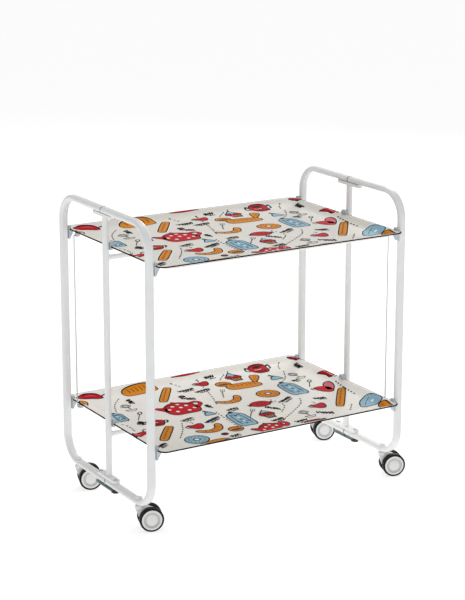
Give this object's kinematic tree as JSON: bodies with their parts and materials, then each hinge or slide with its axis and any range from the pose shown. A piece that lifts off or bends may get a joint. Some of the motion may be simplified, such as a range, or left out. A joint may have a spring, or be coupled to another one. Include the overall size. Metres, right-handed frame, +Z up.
{
  "type": "folding serving trolley",
  "caption": "Folding serving trolley: flat-oval tube end frames hinged on centre posts, a pair of dished tilting trays joined by link rods, and swivelling twin-wheel casters.",
  "frame": {"origin": "on the floor, midway between the four caster stems", "axes": "+X along the trays, +Y to the rear, +Z up"},
  "size_m": [0.7936, 0.509, 0.7705],
  "materials": {
    "white_enamel": "satin",
    "printed_laminate": "gloss",
    "grey_nylon": "satin",
    "white_plastic": "satin",
    "black_plastic": "matte",
    "dark_steel": "satin",
    "steel": "satin",
    "tread_rubber": "matte"
  },
  "bodies": {
    "centre_frame": {"left_post": "white_enamel", "right_post": "white_enamel", "head_bars": "white_enamel", "foot_bars": "white_enamel", "frame_hinge_pins": "steel", "upper_crossbar": "white_enamel", "lower_crossbar": "white_enamel", "tray_pivot_pins": "steel"},
    "front_left_half": {"front_left_half_frame": "white_enamel", "front_left_rail_plugs": "grey_nylon", "front_left_caster_bolt": "white_enamel"},
    "rear_left_half": {"rear_left_half_frame": "white_enamel", "rear_left_rail_plugs": "grey_nylon", "rear_left_caster_bolt": "white_enamel", "left_latch_pivot": "grey_nylon"},
    "front_right_half": {"front_right_half_frame": "white_enamel", "front_right_rail_plugs": "grey_nylon", "front_right_caster_bolt": "white_enamel"},
    "rear_right_half": {"rear_right_half_frame": "white_enamel", "rear_right_rail_plugs": "grey_nylon", "rear_right_caster_bolt": "white_enamel", "right_latch_pivot": "grey_nylon"},
    "upper_tray": {"upper_tray": "printed_laminate", "upper_tray_bearings": "grey_nylon", "upper_corner_gussets": "grey_nylon", "upper_rod_lugs": "grey_nylon"},
    "lower_tray": {"lower_tray": "printed_laminate", "lower_tray_bearings": "grey_nylon", "lower_corner_gussets": "grey_nylon", "lower_rod_lugs": "grey_nylon"},
    "left_link_rod": {"left_link_rod": "steel"},
    "right_link_rod": {"right_link_rod": "steel"},
    "left_latch": {"left_latch_strip": "dark_steel", "left_latch_tip": "black_plastic"},
    "right_latch": {"right_latch_strip": "dark_steel", "right_latch_tip": "black_plastic"},
    "front_left_caster": {"front_left_caster_hood": "white_plastic", "front_left_caster_axle": "steel"},
    "front_left_near_wheel": {"front_left_near_hub": "white_plastic", "front_left_near_tread": "tread_rubber"},
    "front_left_far_wheel": {"front_left_far_hub": "white_plastic", "front_left_far_tread": "tread_rubber"},
    "rear_left_caster": {"rear_left_caster_hood": "white_plastic", "rear_left_caster_axle": "steel"},
    "rear_left_near_wheel": {"rear_left_near_hub": "white_plastic", "rear_left_near_tread": "tread_rubber"},
    "rear_left_far_wheel": {"rear_left_far_hub": "white_plastic", "rear_left_far_tread": "tread_rubber"},
    "front_right_caster": {"front_right_caster_hood": "white_plastic", "front_right_caster_axle": "steel"},
    "front_right_near_wheel": {"front_right_near_hub": "white_plastic", "front_right_near_tread": "tread_rubber"},
    "front_right_far_wheel": {"front_right_far_hub": "white_plastic", "front_right_far_tread": "tread_rubber"},
    "rear_right_caster": {"rear_right_caster_hood": "white_plastic", "rear_right_caster_axle": "steel"},
    "rear_right_near_wheel": {"rear_right_near_hub": "white_plastic", "rear_right_near_tread": "tread_rubber"},
    "rear_right_far_wheel": {"rear_right_far_hub": "white_plastic", "rear_right_far_tread": "tread_rubber"}
  },
  "joints": [
    {"name": "front_left_half_swing", "type": "hinge", "parent": "centre_frame", "child": "front_left_half", "pos_m": [-0.361, -0.04, 0.418], "axis": [0, 0, -1], "range_deg": [0, 75]},
    {"name": "rear_left_half_swing", "type": "hinge", "parent": "centre_frame", "child": "rear_left_half", "pos_m": [-0.361, 0.04, 0.418], "axis": [0, 0, 1], "range_deg": [0, 75]},
    {"name": "front_right_half_swing", "type": "hinge", "parent": "centre_frame", "child": "front_right_half", "pos_m": [0.361, -0.04, 0.418], "axis": [0, 0, 1], "range_deg": [0, 75]},
    {"name": "rear_right_half_swing", "type": "hinge", "parent": "centre_frame", "child": "rear_right_half", "pos_m": [0.361, 0.04, 0.418], "axis": [0, 0, -1], "range_deg": [0, 75]},
    {"name": "upper_tray_tilt", "type": "hinge", "parent": "centre_frame", "child": "upper_tray", "pos_m": [0, 0, 0.677], "axis": [1, 0, 0], "range_deg": [0, 25]},
    {"name": "lower_tray_tilt", "type": "hinge", "parent": "centre_frame", "child": "lower_tray", "pos_m": [0, 0, 0.227], "axis": [1, 0, 0], "range_deg": [0, 25]},
    {"name": "left_link_rod_turn", "type": "hinge", "parent": "upper_tray", "child": "left_link_rod", "pos_m": [-0.355, 0.178, 0.6635], "axis": [1, 0, 0], "range_deg": [-25, 0]},
    {"name": "right_link_rod_turn", "type": "hinge", "parent": "upper_tray", "child": "right_link_rod", "pos_m": [0.355, -0.178, 0.6635], "axis": [1, 0, 0], "range_deg": [-25, 0]},
    {"name": "left_latch_turn", "type": "hinge", "parent": "rear_left_half", "child": "left_latch", "pos_m": [-0.361, 0.015, 0.057], "axis": [0, 0, -1], "range_deg": [0, 40]},
    {"name": "right_latch_turn", "type": "hinge", "parent": "rear_right_half", "child": "right_latch", "pos_m": [0.361, 0.015, 0.057], "axis": [0, 0, 1], "range_deg": [0, 40]},
    {"name": "front_left_caster_swivel", "type": "hinge", "parent": "front_left_half", "child": "front_left_caster", "pos_m": [-0.361, -0.162, 0.06], "axis": [0, 0, 1], "continuous": true},
    {"name": "front_left_near_wheel_spin", "type": "hinge", "parent": "front_left_caster", "child": "front_left_near_wheel", "pos_m": [-0.33539, -0.17057, 0.03], "axis": [0.3173, 0.9483, 0], "continuous": true},
    {"name": "front_left_far_wheel_spin", "type": "hinge", "parent": "front_left_caster", "child": "front_left_far_wheel", "pos_m": [-0.33539, -0.17057, 0.03], "axis": [0.3173, 0.9483, 0], "continuous": true},
    {"name": "rear_left_caster_swivel", "type": "hinge", "parent": "rear_left_half", "child": "rear_left_caster", "pos_m": [-0.361, 0.162, 0.06], "axis": [0, 0, 1], "continuous": true},
    {"name": "rear_left_near_wheel_spin", "type": "hinge", "parent": "rear_left_caster", "child": "rear_left_near_wheel", "pos_m": [-0.33539, 0.15343, 0.03], "axis": [0.3173, 0.9483, 0], "continuous": true},
    {"name": "rear_left_far_wheel_spin", "type": "hinge", "parent": "rear_left_caster", "child": "rear_left_far_wheel", "pos_m": [-0.33539, 0.15343, 0.03], "axis": [0.3173, 0.9483, 0], "continuous": true},
    {"name": "front_right_caster_swivel", "type": "hinge", "parent": "front_right_half", "child": "front_right_caster", "pos_m": [0.361, -0.162, 0.06], "axis": [0, 0, 1], "continuous": true},
    {"name": "front_right_near_wheel_spin", "type": "hinge", "parent": "front_right_caster", "child": "front_right_near_wheel", "pos_m": [0.3866, -0.17057, 0.03], "axis": [0.3173, 0.9483, 0], "continuous": true},
    {"name": "front_right_far_wheel_spin", "type": "hinge", "parent": "front_right_caster", "child": "front_right_far_wheel", "pos_m": [0.3866, -0.17057, 0.03], "axis": [0.3173, 0.9483, 0], "continuous": true},
    {"name": "rear_right_caster_swivel", "type": "hinge", "parent": "rear_right_half", "child": "rear_right_caster", "pos_m": [0.361, 0.162, 0.06], "axis": [0, 0, 1], "continuous": true},
    {"name": "rear_right_near_wheel_spin", "type": "hinge", "parent": "rear_right_caster", "child": "rear_right_near_wheel", "pos_m": [0.3866, 0.15343, 0.03], "axis": [0.3173, 0.9483, 0], "continuous": true},
    {"name": "rear_right_far_wheel_spin", "type": "hinge", "parent": "rear_right_caster", "child": "rear_right_far_wheel", "pos_m": [0.3866, 0.15343, 0.03], "axis": [0.3173, 0.9483, 0], "continuous": true}
  ],
  "couplings": [
    {"joint": "lower_tray_tilt", "follows": "upper_tray_tilt", "ratio": 1},
    {"joint": "left_link_rod_turn", "follows": "upper_tray_tilt", "ratio": -1},
    {"joint": "right_link_rod_turn", "follows": "upper_tray_tilt", "ratio": -1}
  ]
}
